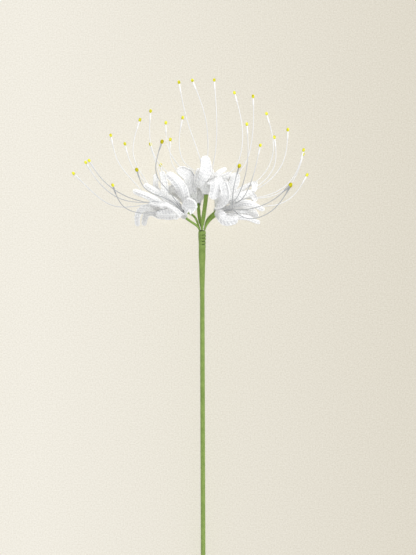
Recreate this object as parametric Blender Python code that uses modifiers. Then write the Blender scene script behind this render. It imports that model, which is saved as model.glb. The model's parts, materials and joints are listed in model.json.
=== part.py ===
"""A crocheted spider lily: one cut stem with six florets, lying on a surface.

The florets' petals are crocheted cotton ribbons, the stamens are thread-covered wires folded in half, with
a yellow anther at each end, and green thread is wound round the stem's wire and round the six pedicels.

The flower is modelled as it lies: +Y runs up the stem towards the florets and +Z is up from the surface.
Places in the tables are millimetres from the point where the six pedicels leave the collar.
"""
import math

import bmesh
import bpy
import numpy as np
from mathutils import Vector

MM = 0.001
GAP = 0.35                  # between touching pieces

# The stem: a wire with green thread wound round it, thicker at the collar below the pedicels
STEM_LENGTH = 299.0
STEM_RADIUS = 2.0
STEM_DRIFT = 1.0            # how far the cut end lies to the side of the collar
WIRE_RADIUS = 0.6
WIRE_END = 8.0              # from the collar's top down to the wire's inner end
COLLAR_HEIGHT = 42.0        # of the collar's axis above the surface
STEM_SIDES = 16
WIRE_SIDES = 8
# radius of the wound thread at each distance below the collar's top
COLLAR_PROFILE = [(-0.6, 2.8), (0.0, 3.2), (5.0, 3.15), (10.0, 2.85), (20.0, 2.95), (26.0, 2.6), (36.0, 2.35),
                  (46.0, STEM_RADIUS)]

# The pedicels leave the collar from six places on a circle
PEDICEL_CIRCLE = 2.2
PEDICEL_START = 1.2         # up from the collar's zero, just over its top
PEDICEL_START_RADIUS = 0.88
PEDICEL_OVERLAP = 2.2       # how far a pedicel's end stands in its ring of petals

# A floret's petals start side by side on a ring, and its stamens on a smaller ring inside it
PETALS_PER_FLORET = 6
TUBE_LENGTH = 5.5           # from the pedicel's end to the mouth of the floret's tube
TWIST_FROM = 5.0            # a petal starts to turn its broad side this far from its root
TUBE_FLARE = 3.8            # how much wider the ring of petals is at the mouth
PETAL_STATIONS = 12
PETAL_ROOT_THICKNESS = 1.0
PETAL_THICKNESS = 1.6
FOLD_FROM = 6.0             # a petal is flat this far from its root
FOLD_AT = 16.0              # and folded its full depth from here on
PETAL_ROOT_SHARE = 0.35     # a petal's width at its root, of its widest width
PETAL_TIP_SHARE = 0.76      # and at its tip
PETAL_FLAT_SHARE = 0.5      # the middle part of its width that is at full thickness
LEAST_HALF_WIDTH = 0.3
STAMEN_RADIUS = 0.42
STAMENS_INSIDE = 0.6        # from the petals' ring in to the stamens' ring
STAMEN_FOLD = 1.7           # from the pedicel's end to the fold in the stamens' wire
STAMEN_STATIONS = 14
ANTHER_RADIUS = 1.1
ANTHER_LENGTH = 3.2
# an anther's outline: places along its length from its middle, and shares of its radius
ANTHER_OUTLINE = [(-0.75, 0.5), (-0.4, 1.0), (0.1, 0.95), (0.45, 0.35)]
PEDICEL_STATIONS = 11
PEDICEL_SPREAD = 0.15       # how much of the way to the next place a pedicel goes as it leaves the collar
PEDICEL_RISE = 0.8          # and how far it goes straight up there

# Each floret: the place of its pedicel's end, the way its tube points, its pedicel's radius, the pedicel's
# place on the collar's circle, in degrees from +X towards +Z, and a place that the pedicel passes through
FLORETS = {
    1: ((-14.8, 13.0, 7.0), (-0.50, 0.62, 0.60), 1.1, 150, (-7.2, 6.8, 4.6)),
    2: ((-22.5, 17.2, -6.0), (-0.84, 0.10, -0.54), 1.0, 210, (-6.2, 12.0, -4.0)),
    3: ((-4.0, 23.0, -9.5), (-0.30, 0.75, -0.59), 1.5, 270, (-2.2, 12.0, -6.0)),
    4: ((3.4, 31.8, 1.0), (0.04, 0.99, -0.08), 1.8, 90, (1.6, 15.0, 2.8)),
    5: ((12.6, 17.2, -5.5), (0.62, 0.60, -0.50), 1.3, 330, (5.8, 11.2, -2.8)),
    6: ((13.2, 14.2, 5.5), (0.66, 0.38, 0.64), 1.3, 30, (6.2, 9.2, 4.4)),
}

# Each floret's petals: the place where a petal turns over, the place of its tip, its widest width, the way
# that its broad side looks there, and how far its edges are folded, to its inner face where positive
PETALS = {
    1: [((-12.4, 18.8, 14), (-5.0, 20.8, 19), 15.0, (-0.1, 0.1, 1.0), 3.0),
        ((-20.8, 40.6, 21), (-27.2, 46.0, 16), 8.4, (0.1, 0.0, 1.0), -1.2),
        ((-33, 30.5, 8), (-45, 37.5, 3), 6.0, (0.2, 0.5, 0.8), -1.6),
        ((-38, 26, 13), (-54, 32.5, 8), 5.6, (0.1, 0.3, 0.9), -1.6),
        ((-27, 19.5, 28), (-41.5, 22.5, 25), 4.5, (0.0, 0.8, 0.6), -1.2),
        ((-20.0, 12.6, 14), (-35.2, 13.2, 9), 8.8, (0.0, -0.1, 1.0), -1.4)],
    2: [((-49, 16.6, 2), (-51.4, 5.5, -2), 5.4, (-0.3, 0.3, 0.9), -1.4),
        ((-42.6, 14.6, -7), (-46.2, 6, -9), 5.4, (-0.2, 0.3, 0.9), -1.4),
        ((-29, 19, -27), (-31, 17, -41.4), 8.0, (-0.5, 0.2, 0.8), -1.4),
        ((-30, 14, -24), (-34, 13, -37), 7.0, (0.2, -0.8, 0.5), -1.4),
        ((-37, 34, -19), (-37.5, 45, -22), 5.2, (0.7, 0.0, 0.7), -1.4),
        ((-30, 35, -10), (-32, 47, -12), 5.6, (0.1, 0.0, 1.0), -1.2)],
    3: [((-12, 45.4, -7), (-19, 49, -4), 10.5, (0.3, 0.2, 0.9), -1.4),
        ((-2.6, 41, -14), (-2.6, 49.5, -18), 5.5, (0.2, 0.0, 1.0), -1.0),
        ((8, 43, -26), (14, 43, -39), 8.0, (0.2, 0.5, 0.8), -1.4),
        ((-6, 28, -29), (-8, 22, -41.4), 8.0, (0.0, -0.3, -0.9), -1.4),
        ((-25, 34, -30), (-34, 30, -39), 8.0, (-0.4, 0.3, 0.8), -1.4),
        ((-20, 35, -19), (-27, 31, -26), 8.0, (-0.2, 0.3, 0.9), -1.4)],
    4: [((2.4, 47, 8), (2.2, 59.4, 7), 9.2, (0.1, 0.0, 1.0), -0.8),
        ((11.0, 41, 14.6), (9.2, 26.8, 16), 10.2, (0.1, 0.2, 1.0), -0.8),
        ((12, 45, 4), (18.5, 50.5, 0), 4.6, (-0.3, 0.3, 0.9), -0.8),
        ((17, 42, -7), (23, 46, -12), 8.0, (0.1, 0.1, 1.0), -1.4),
        ((5, 46, -7), (4, 52, -20), 7.5, (0.0, 0.6, 0.8), -1.4),
        ((-3.6, 39.6, 1), (-2.8, 47.4, -3), 4.8, (0.2, 0.0, 1.0), -1.0)],
    5: [((25, 38, -6), (27, 46, -9), 9.0, (0.0, 0.1, 1.0), -1.2),
        ((42.6, 37.4, 1), (41.6, 32.6, 6), 5.4, (0.2, 0.5, 0.8), -1.0),
        ((38, 30, -9), (42.5, 25, -12), 6.4, (0.0, 0.3, 0.9), -1.4),
        ((36, 19, -24), (44, 14, -41.4), 8.0, (0.5, 0.2, 0.8), -1.4),
        ((15, 14, -24), (14.6, 11.5, -37), 7.0, (-0.1, -0.7, 0.6), -1.4),
        ((14, 36, -22), (11, 39, -34), 8.0, (0.3, 0.4, 0.8), -1.4)],
    6: [((19.2, 29, 23.6), (17.4, 38.5, 20), 8.8, (-0.5, -0.2, 0.85), -1.0),
        ((29, 28, 12), (38.5, 32, 7), 6.4, (-0.2, 0.3, 0.9), -1.6),
        ((38, 23, 18), (49, 18, 14), 5.0, (0.0, 0.5, 0.8), -1.4),
        ((33, 15.5, 13), (44, 13, 7), 5.6, (0.0, 0.1, 1.0), -1.4),
        ((31, 12, 17), (45.5, 7.5, 11), 4.4, (0.0, 0.5, 0.85), -1.2),
        ((17.2, 9.8, 18), (27.6, 10.2, 22), 8.2, (0.1, -0.1, 1.0), 1.8)],
}

# Each floret's stamens, two to a folded wire: two places that a stamen passes through, then its tip
STAMENS = {
    1: [[((-68, 20, 20), (-91, 35, 13), (-102.6, 46.3, 10)),
         ((-60, 24.5, 28), (-82, 39, 20), (-92.8, 55, 13))],
        [((-50, 24.5, 34), (-78, 40, 30), (-90, 56.4, 24)),
         ((-40, 15, 39), (-62, 19.5, 47), (-71, 36.6, 51))],
        [((-36, 29, 38), (-46, 35, 50), (-51.9, 49, 60)),
         ((-26.5, 32, 35), (-36.6, 47.5, 53), (-31.8, 71.4, 58))]],
    2: [[((-52, 37, -22), (-66, 54, -27), (-73.1, 77, -22)),
         ((-44, 37, -29), (-55, 51, -34), (-61.8, 70.2, -34))],
        [((-40, 33, -16), (-55, 62, -16), (-49.7, 89.4, -14)),
         ((-32, 36, -22), (-37, 55, -27), (-41.3, 70, -25))]],
    3: [[((-28, 48, -16), (-39, 63, -20), (-41.2, 96.4, -17)),
         ((-18, 52, -19), (-27, 67, -28), (-29, 87.1, -29))],
        [((-14, 42, -30), (-24, 55, -37), (-25.4, 73.8, -37)),
         ((-22, 37, -34), (-30, 43, -39), (-33.2, 53.2, -39))]],
    4: [[((-13, 54, -8), (-18, 67, -8), (-15.5, 91, -6)),
         ((-1.5, 58, 0), (-11, 86, 4), (-18.4, 119.2, 4))],
        [((4.5, 58, -1), (2, 94, 12), (-7.6, 120.4, 17)),
         ((8, 50, 0), (11.5, 72, 8), (9.8, 120.8, 12))],
        [((18, 45, 2), (32, 68, 6), (26, 110.8, 0)),
         ((20, 43, -3), (40, 74, -2), (40.8, 108, 4))]],
    5: [[((42, 39, -18), (57, 64, -28), (51.8, 94.3, -31)),
         ((40, 34, -14), (58, 53, -19), (58, 75.4, -20))],
        [((44, 34, -20), (65, 56, -27), (68.8, 81.6, -27)),
         ((48, 28, -14), (72, 42, -15), (81.3, 65.2, -12))],
        [((48, 27, -22), (70, 37, -26), (81, 61.7, -24)),
         ((48, 20.5, -6), (71, 27, -8), (84, 45.2, -8))]],
    6: [[((38, 18, 29), (58, 26, 38), (70.6, 37.4, 42)),
         ((34, 11, 24), (55, 16, 33), (70.6, 36.4, 38))],
        [((29, 29, 30), (36, 53, 44), (35.8, 85.2, 49)),
         ((31, 25, 34), (40, 42, 50), (46.4, 68.2, 58))],
        [((24, 18, 38), (25, 33, 56), (29.7, 52.2, 66))]],
}

# How pieces that lie against each other settle: least distances between their sample points
SETTLE_ROUNDS = 220
ROUNDS_BETWEEN_SEARCHES = 20
SEARCH_REACH = 9.0          # pairs of points nearer than this are looked at until the next search
PETAL_TO_PETAL = 2.75
PETAL_TO_STAMEN = 2.6
PETAL_TO_PEDICEL = 3.4
STAMEN_TO_STAMEN = 1.8
STAMEN_TO_PEDICEL = 2.6
PUSH_SHARE = 0.35           # of the missing distance, in one round
UPWARD_LEAN = 0.6           # added to a push's upward or downward part
SIDEWAYS_SHARE = 0.45       # of a push's sideways part that is kept
EDGE_SAMPLES_AT = 0.75      # of a petal's half width, where its outer sample points lie
FLOOR_CLEARANCE = 0.9
FREE_FROM = 5.0             # a piece can't move nearer to its root than this
FREE_AT = 13.0              # from here on it moves freely
OWN_PETALS_FROM = 8.0       # nearer its root a petal doesn't push its own floret's petals
OWN_STAMENS_FROM = 7.0      # nor a stamen its own floret's pieces

GREEN = (0.20, 0.32, 0.09, 1.0)
DARK_GREEN = (0.12, 0.22, 0.06, 1.0)
WHITE = (0.86, 0.86, 0.84, 1.0)
YELLOW_WHITE = (0.84, 0.83, 0.70, 1.0)
STEEL = (0.55, 0.55, 0.55, 1.0)


def clear_scene():
    """Remove everything that the start-up scene holds."""
    for thing in list(bpy.data.objects):
        bpy.data.objects.remove(thing, do_unlink=True)


def material(name, colour, roughness, metallic=0.0):
    """A Principled material."""
    made = bpy.data.materials.new(name)
    made.use_nodes = True
    shader = made.node_tree.nodes["Principled BSDF"]
    shader.inputs["Base Color"].default_value = colour
    shader.inputs["Roughness"].default_value = roughness
    shader.inputs["Metallic"].default_value = metallic
    return made


def unit(vector):
    """The vector at length 1."""
    vector = np.asarray(vector, float)
    return vector / np.linalg.norm(vector)


def ease(x, low, high):
    """0 below low, 1 above high, and smooth between them."""
    t = np.clip((x - low) / (high - low), 0.0, 1.0)
    return t * t * (3.0 - 2.0 * t)


def run_length(points):
    """Distance along the points from the first one."""
    steps = np.linalg.norm(np.diff(points, axis=0), axis=1)
    return np.concatenate([[0.0], np.cumsum(steps)])


def natural_spline(points, count):
    """A smooth curve through the points, as count points at equal spacing."""
    points = np.asarray(points, float)
    knots = run_length(points)
    steps = np.diff(knots)
    size = len(points)
    system = np.eye(size)
    known = np.zeros((size, 3))
    for i in range(1, size - 1):
        system[i, i - 1:i + 2] = steps[i - 1], 2.0 * (steps[i - 1] + steps[i]), steps[i]
        slopes = (points[i + 1] - points[i]) / steps[i] - (points[i] - points[i - 1]) / steps[i - 1]
        known[i] = 6.0 * slopes
    bends = np.linalg.solve(system, known)
    fine = np.linspace(0.0, knots[-1], 400)
    spans = np.clip(np.searchsorted(knots, fine, side="right") - 1, 0, size - 2)
    step = steps[spans][:, None]
    before = fine[:, None] - knots[spans][:, None]
    after = knots[spans + 1][:, None] - fine[:, None]
    curve = (bends[spans] * after ** 3 + bends[spans + 1] * before ** 3) / (6.0 * step)
    curve += (points[spans] / step - bends[spans] * step / 6.0) * after
    curve += (points[spans + 1] / step - bends[spans + 1] * step / 6.0) * before
    return resample(curve, count)


def resample(curve, count):
    """The same curve as count points at equal spacing."""
    along = run_length(curve)
    places = np.linspace(0.0, along[-1], count)
    return np.stack([np.interp(places, along, curve[:, i]) for i in range(3)], axis=1)


def headings(path):
    """The unit tangent at each point of a path."""
    tangents = np.gradient(path, axis=0)
    return tangents / np.linalg.norm(tangents, axis=1)[:, None]


def carried_sides(path, first_side):
    """A side vector at each point of a path, carried along it without twisting."""
    sides = []
    side = np.asarray(first_side, float)
    for heading in headings(path):
        side = unit(side - heading * side.dot(heading))
        sides.append(side)
    return np.array(sides)


def ring_frame(axis):
    """Two unit vectors square to the axis."""
    axis = unit(axis)
    across = unit(np.cross(axis, (0.0, 0.0, 1.0)))
    return across, np.cross(across, axis)


def bearing(vector, axis):
    """The angle of a vector round an axis."""
    across, up = ring_frame(axis)
    return math.atan2(np.dot(vector, up), np.dot(vector, across))


def ring_places(bearings, spacing):
    """Evenly spaced angles, given out in the order of the bearings and turned to lie nearest to them."""
    order = np.argsort(bearings)
    ranks = np.empty(len(bearings))
    ranks[order] = np.arange(len(bearings))
    offsets = np.asarray(bearings) - ranks * spacing
    turn = math.atan2(np.sin(offsets).sum(), np.cos(offsets).sum())
    return turn + ranks * spacing


def radial(angle, axis):
    """The unit vector away from an axis at an angle round it."""
    across, up = ring_frame(axis)
    return math.cos(angle) * across + math.sin(angle) * up


def floret_ring(number):
    """A floret's pedicel's end, the way its tube points, and the radius of its ring of petals."""
    base, axis, pedicel_radius, _, _ = FLORETS[number]
    return np.array(base), unit(axis), pedicel_radius + GAP + PETAL_ROOT_THICKNESS / 2


def petal_sides(petal, path):
    """The petal's side vector at each point: along its ring at the root, and as the table says at the turn."""
    sides = carried_sides(path, petal["side"])
    at = np.argmin(np.linalg.norm(path - petal["turn"], axis=1))
    way = headings(path)[at]
    wanted = unit(np.cross(petal["face"], way))
    swing = math.atan2(np.dot(np.cross(sides[at], wanted), way), np.dot(sides[at], wanted))
    swing = (swing + math.pi / 2) % math.pi - math.pi / 2
    along = run_length(path)
    angles = swing * ease(along, TWIST_FROM, max(along[at], TWIST_FROM + 6.0))
    turned_sides = []
    for side, heading, angle in zip(sides, headings(path), angles):
        turned_sides.append(side * math.cos(angle) + np.cross(heading, side) * math.sin(angle))
    return np.array(turned_sides)


def petal_paths():
    """Each petal's middle line, first side vector and widths, from the places in the table."""
    petals = []
    for number, rows in PETALS.items():
        base, axis, ring = floret_ring(number)
        outs = [np.array(row[0]) * 0.6 + np.array(row[1]) * 0.4 - base for row in rows]
        angles = ring_places([bearing(out, axis) for out in outs], 2 * math.pi / PETALS_PER_FLORET)
        for place, ((turn, tip, width, face, fold), angle) in enumerate(zip(rows, angles), 1):
            out = radial(angle, axis)
            root = base - axis * PEDICEL_OVERLAP + out * ring
            collar = base + axis * 0.6 + out * (ring + 0.5)
            mouth = base + axis * TUBE_LENGTH + out * (ring + TUBE_FLARE)
            path = natural_spline([root, collar, mouth, turn, tip], PETAL_STATIONS * 2 + 1)
            petals.append({"name": f"floret_{number}_petal_{place}", "floret": number, "path": path,
                           "side": np.cross(axis, out), "width": width, "base": base, "axis": axis,
                           "turn": np.array(turn), "face": unit(face), "fold": fold})
    return petals


def stamen_paths():
    """Each stamen's middle line from the fold in its wire to its tip."""
    stamens = []
    for number, wires in STAMENS.items():
        base, axis, ring = floret_ring(number)
        ring -= STAMENS_INSIDE
        middles = [np.mean([np.array(leg[0]) for leg in wire], axis=0) - base for wire in wires]
        turns = ring_places([bearing(middle, axis) for middle in middles], 2 * math.pi / len(wires))
        if len(wires) == 2:
            turns = ring_places([bearing(middle, axis) for middle in middles], math.pi)
        for place, (wire, turn) in enumerate(zip(wires, turns), 1):
            leg_bearings = np.array([bearing(np.array(leg[0]) - base, axis) for leg in wire])
            swing = np.angle(np.exp(1j * (leg_bearings - turn)))
            order = np.argsort(np.argsort(swing))
            for leg, rank in zip(wire, order):
                angle = turn + (rank - (len(wire) - 1) / 2) * math.pi / 3
                out = radial(angle, axis)
                fold = base + axis * STAMEN_FOLD + out * ring
                mouth = base + axis * (TUBE_LENGTH + 3.5) + out * (ring + 0.5)
                path = natural_spline([fold, mouth, *leg], STAMEN_STATIONS * 4 + 1)
                stamens.append({"name": f"floret_{number}_stamens_{place}", "floret": number, "path": path,
                                "bend": base + axis * (STAMEN_FOLD - ring * 0.6)})
    return stamens


def petal_half_widths(petal, path):
    """Half the petal's width along its path, held inside its sixth of the ring near the floret's axis."""
    t = np.linspace(0.0, 1.0, len(path))
    rise = ease(t, 0.0, 0.38)
    fall = ease(t, 0.62, 1.05)
    widest = petal["width"] / 2
    half = widest * (PETAL_ROOT_SHARE + (1.0 - PETAL_ROOT_SHARE) * rise)
    half -= widest * (1.0 - PETAL_TIP_SHARE) * fall
    away = path - petal["base"]
    away = away - np.outer(away.dot(petal["axis"]), petal["axis"])
    out = np.linalg.norm(away, axis=1)
    sixth = math.pi / PETALS_PER_FLORET
    room = np.maximum(out * math.sin(sixth) - GAP / 2, LEAST_HALF_WIDTH)
    return np.minimum(half, room / math.cos(sixth))


def petal_fold(petal, path):
    """How far the petal's edges lie off its middle along its path, to its inner face where positive."""
    along = run_length(path)
    return petal["fold"] * ease(along, FOLD_FROM, FOLD_AT)


def settle(petals, stamens, pedicels):
    """Move petals and stamens apart where they meet, mostly up and down, as they lie on each other."""
    movable = petals + stamens
    for round_number in range(SETTLE_ROUNDS):
        samples = sample_points(movable, pedicels)
        if round_number % ROUNDS_BETWEEN_SEARCHES == 0:
            pairs = near_pairs(samples, SEARCH_REACH)
        moves = np.zeros_like(samples["at"])
        first, second = pairs
        apart = samples["at"][first] - samples["at"][second]
        distance = np.linalg.norm(apart, axis=1) + 1e-9
        least = samples["least"](first, second)
        short = np.maximum(least - distance, 0.0)
        push = apart / distance[:, None]
        push[:, 2] += np.sign(push[:, 2] + 1e-6) * UPWARD_LEAN
        push[:, :2] *= SIDEWAYS_SHARE
        push /= np.linalg.norm(push, axis=1)[:, None]
        push *= (short * PUSH_SHARE)[:, None]
        np.add.at(moves, first, push)
        np.add.at(moves, second, -push)
        met = short > 0
        count = np.bincount(first[met], minlength=len(moves))
        count += np.bincount(second[met], minlength=len(moves))
        moves /= np.maximum(count, 1)[:, None] ** 0.5
        apply_moves(movable, samples, moves)


def sample_points(movable, pedicels):
    """Points on every piece: three across each petal's width, and one on a stamen or pedicel."""
    at, piece, station, kind, floret, along = [], [], [], [], [], []
    for index, item in enumerate(movable + pedicels):
        path = item["path"]
        reach = run_length(path)
        offsets = [np.zeros((len(path), 3))]
        if "width" in item:
            half = petal_half_widths(item, path)[:, None] * EDGE_SAMPLES_AT
            sides = petal_sides(item, path)
            lift = np.cross(headings(path), sides) * petal_fold(item, path)[:, None] * EDGE_SAMPLES_AT ** 2
            offsets += [lift + sides * half, lift - sides * half]
        for offset in offsets:
            at.append(path + offset)
            piece.append(np.full(len(path), index))
            station.append(np.arange(len(path)))
            kind.append(np.full(len(path), 0 if "width" in item else 1 if "floret" in item else 2))
            floret.append(np.full(len(path), item.get("floret", 0)))
            along.append(reach)
    found = {"at": np.concatenate(at), "piece": np.concatenate(piece), "station": np.concatenate(station),
             "kind": np.concatenate(kind), "floret": np.concatenate(floret), "along": np.concatenate(along)}
    table = np.array([[PETAL_TO_PETAL, PETAL_TO_STAMEN, PETAL_TO_PEDICEL],
                      [PETAL_TO_STAMEN, STAMEN_TO_STAMEN, STAMEN_TO_PEDICEL],
                      [PETAL_TO_PEDICEL, STAMEN_TO_PEDICEL, 0.0]])
    found["least"] = lambda one, two: table[found["kind"][one], found["kind"][two]]
    return found


def near_pairs(samples, reach):
    """Pairs of sample points of different pieces that lie within reach and may push each other."""
    at = samples["at"]
    firsts, seconds = [], []
    for start in range(0, len(at), 400):
        block = at[start:start + 400]
        gaps = np.linalg.norm(block[:, None] - at[None], axis=2)
        one, two = np.nonzero(gaps < reach)
        one = one + start
        keep = (one < two) & (samples["piece"][one] != samples["piece"][two])
        firsts.append(one[keep])
        seconds.append(two[keep])
    one, two = np.concatenate(firsts), np.concatenate(seconds)
    own = samples["floret"][one] == samples["floret"][two]
    both_petals = samples["kind"][one] + samples["kind"][two] == 0
    least = np.where(both_petals, OWN_PETALS_FROM, OWN_STAMENS_FROM)
    close = np.minimum(samples["along"][one], samples["along"][two]) < least
    keep = ~(own & close)
    return one[keep], two[keep]


def apply_moves(movable, samples, moves):
    """Move each path by its samples' moves, smoothed along it and held at its root."""
    for index, item in enumerate(movable):
        mine = samples["piece"] == index
        path = item["path"]
        total = np.zeros_like(path)
        np.add.at(total, samples["station"][mine], moves[mine])
        total /= (mine.sum() / len(path)) ** 0.5
        for _ in range(3):
            padded = np.vstack([total[:1], total, total[-1:]])
            total = (padded[:-2] + 2 * padded[1:-1] + padded[2:]) / 4
        total *= ease(run_length(path), FREE_FROM, FREE_AT)[:, None]
        path = path + total
        low = FLOOR_CLEARANCE - COLLAR_HEIGHT
        path[:, 2] = np.maximum(path[:, 2], low)
        item["path"] = path


def link(made, collection, root):
    """Put an object in the collection, under the root empty."""
    collection.objects.link(made)
    made.parent = root


def metres(point):
    """A place in the tables' millimetres as metres, no lower than the surface."""
    x, y, z = point
    return Vector((x * MM, y * MM, max(z + COLLAR_HEIGHT, 0.0) * MM))


def ribbon_section(half_width, half_thickness, fold):
    """The eight corners of a petal's section, as steps across and through it: a crowned, folded ribbon."""
    flat = half_width * PETAL_FLAT_SHARE
    rise = fold * PETAL_FLAT_SHARE ** 2
    return [(half_width, fold), (flat, rise + half_thickness), (0.0, half_thickness),
            (-flat, rise + half_thickness), (-half_width, fold), (-flat, rise - half_thickness),
            (0.0, -half_thickness), (flat, rise - half_thickness)]


def petal_mesh(petal):
    """A petal lofted through its sections, with a short domed end at its root and tip."""
    path = resample(petal["path"], PETAL_STATIONS)
    sides = petal_sides(petal, path)
    ways = headings(path)
    halves = petal_half_widths(petal, path)
    folds = petal_fold(petal, path)
    thicker = ease(np.linspace(0.0, 1.0, len(path)), 0.1, 0.4)
    thick = PETAL_ROOT_THICKNESS + (PETAL_THICKNESS - PETAL_ROOT_THICKNESS) * thicker
    builder = bmesh.new()
    rings = []
    for point, side, way, half, deep, fold in zip(path, sides, ways, halves, thick, folds):
        face = np.cross(way, side)
        corners = [point + side * u + face * v for u, v in ribbon_section(half, deep / 2, fold)]
        rings.append([builder.verts.new(metres(corner)) for corner in corners])
    for near, far in zip(rings, rings[1:]):
        for i in range(len(near)):
            j = (i + 1) % len(near)
            builder.faces.new((near[i], near[j], far[j], far[i]))
    tip_lift = np.cross(ways[-1], sides[-1]) * folds[-1] * PETAL_FLAT_SHARE ** 2
    for ring, end in ((rings[0], path[0] - ways[0] * 0.3), (rings[-1], path[-1] + ways[-1] * 1.2 + tip_lift)):
        apex = builder.verts.new(metres(end))
        for i in range(len(ring)):
            builder.faces.new((ring[i], ring[(i + 1) % len(ring)], apex))
    bmesh.ops.recalc_face_normals(builder, faces=builder.faces)
    mesh = bpy.data.meshes.new(petal["name"])
    builder.to_mesh(mesh)
    builder.free()
    return mesh


def wire_curve(name, points, radii, sides_setting):
    """A round wire along the points, with its own radius at each, as a curve with filled ends."""
    curve = bpy.data.curves.new(name, "CURVE")
    curve.dimensions = "3D"
    curve.bevel_depth = MM
    curve.bevel_resolution = sides_setting
    curve.use_fill_caps = True
    spline = curve.splines.new("POLY")
    spline.points.add(len(points) - 1)
    for target, point, radius in zip(spline.points, points, radii):
        target.co = (*metres(point), 1.0)
        target.radius = radius
    return curve


def stamen_leg(path):
    """A stamen's points from the fold to its tip, with extra ones for the anther, and their radii."""
    path = resample(path, STAMEN_STATIONS)
    filament = path[:-1]
    way = unit(path[-1] - path[-2])
    points = list(filament) + [path[-1] + way * ANTHER_LENGTH * step for step, _ in ANTHER_OUTLINE]
    radii = [STAMEN_RADIUS] * len(filament) + [ANTHER_RADIUS * size for _, size in ANTHER_OUTLINE]
    return points, radii


def stamen_wire(name, legs):
    """The folded wire of one or two stamens."""
    points, radii = stamen_leg(legs[0]["path"])
    if len(legs) == 2:
        middle = (legs[0]["path"][0] + legs[1]["path"][0]) / 2
        bend = middle + (legs[0]["bend"] - middle) * 0.45
        others, other_radii = stamen_leg(legs[1]["path"])
        points = others[::-1] + [bend] + points
        radii = other_radii[::-1] + [STAMEN_RADIUS] + radii
    return wire_curve(name, points, radii, 1)


def pedicel_paths():
    """Each pedicel's middle line, from the collar's top to inside its ring of petals."""
    pedicels = []
    for number, (base, axis, radius, angle, passes) in FLORETS.items():
        axis = unit(axis)
        turn = math.radians(angle)
        start = np.array((PEDICEL_CIRCLE * math.cos(turn), PEDICEL_START, PEDICEL_CIRCLE * math.sin(turn)))
        rise = start + (np.array(passes) - start) * PEDICEL_SPREAD
        rise[1] += PEDICEL_RISE
        end = np.array(base)
        path = natural_spline([start, rise, passes, end - axis * 2.0, end], PEDICEL_STATIONS)
        pedicels.append({"name": f"pedicel_{number}", "path": path, "radius": radius})
    return pedicels


def pedicel_curve(pedicel):
    """A pedicel, thin where the six leave the collar together."""
    path = pedicel["path"]
    grow = ease(run_length(path), 1.0, 8.0)
    radii = PEDICEL_START_RADIUS + (pedicel["radius"] - PEDICEL_START_RADIUS) * grow
    return wire_curve(pedicel["name"], path, radii, 2)


def stem_line():
    """The cut end's and the collar top's places, in metres."""
    tilt = math.asin((COLLAR_HEIGHT - STEM_RADIUS) / STEM_LENGTH)
    low = STEM_RADIUS * math.cos(tilt) - COLLAR_HEIGHT
    run = STEM_LENGTH * math.cos(tilt)
    return metres((STEM_DRIFT, -run, low)), metres((0.0, 0.0, 0.0))


def turned(name, profile, sides):
    """A turned solid: a profile of (radius, height) run down its outer side, screwed round Z."""
    mesh = bpy.data.meshes.new(name)
    builder = bmesh.new()
    points = [builder.verts.new((radius * MM, 0.0, height * MM)) for radius, height in profile]
    for one, two in zip(points, points[1:]):
        builder.edges.new((one, two))
    builder.to_mesh(mesh)
    builder.free()
    made = bpy.data.objects.new(name, mesh)
    screw = made.modifiers.new("turn", "SCREW")
    screw.steps = sides
    screw.render_steps = sides
    screw.use_merge_vertices = True
    screw.merge_threshold = 0.0001
    return made


def along_stem(made, low, high):
    """Turn an object's +Z along the stem, with its origin at the cut end."""
    made.location = low
    made.rotation_euler = (high - low).to_track_quat("Z", "Y").to_euler()


def make_stem(collection, root, green, steel):
    """The wire and the green thread wound round it, with the thicker collar at its top."""
    low, high = stem_line()
    length = (high - low).length / MM
    bore = WIRE_RADIUS + GAP
    bore_end = length - WIRE_END + GAP
    outer = [(radius, length - down) for down, radius in COLLAR_PROFILE]
    outer += [(STEM_RADIUS, length * share) for share in (0.6, 0.3)]
    inner = [(STEM_RADIUS, 0.0), (bore, 0.0), (bore, bore_end), (0.0, bore_end)]
    wrap = turned("stem_wrap", [(0.0, outer[0][1])] + outer + inner, STEM_SIDES)
    wire_top = length - WIRE_END
    wire_profile = [(0.0, wire_top), (WIRE_RADIUS, wire_top), (WIRE_RADIUS, 0.0), (0.0, 0.0)]
    wire = turned("stem_wire", wire_profile, WIRE_SIDES)
    for made, look in ((wrap, green), (wire, steel)):
        made.data.materials.append(look)
        link(made, collection, root)
        along_stem(made, low, high)


def stand_on_origin(root, collection):
    """Move the flower so that the middle of its box's underside is at the origin."""
    bpy.context.view_layer.update()
    depsgraph = bpy.context.evaluated_depsgraph_get()
    low = np.full(3, np.inf)
    high = np.full(3, -np.inf)
    for made in collection.objects:
        if made.type not in {"MESH", "CURVE"}:
            continue
        evaluated = made.evaluated_get(depsgraph)
        mesh = evaluated.to_mesh()
        corners = np.array([made.matrix_world @ vertex.co for vertex in mesh.vertices])
        evaluated.to_mesh_clear()
        low = np.minimum(low, corners.min(axis=0))
        high = np.maximum(high, corners.max(axis=0))
    middle = (low + high) / 2
    root.location = (-middle[0], -middle[1], -low[2])
    bpy.context.view_layer.update()


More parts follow.
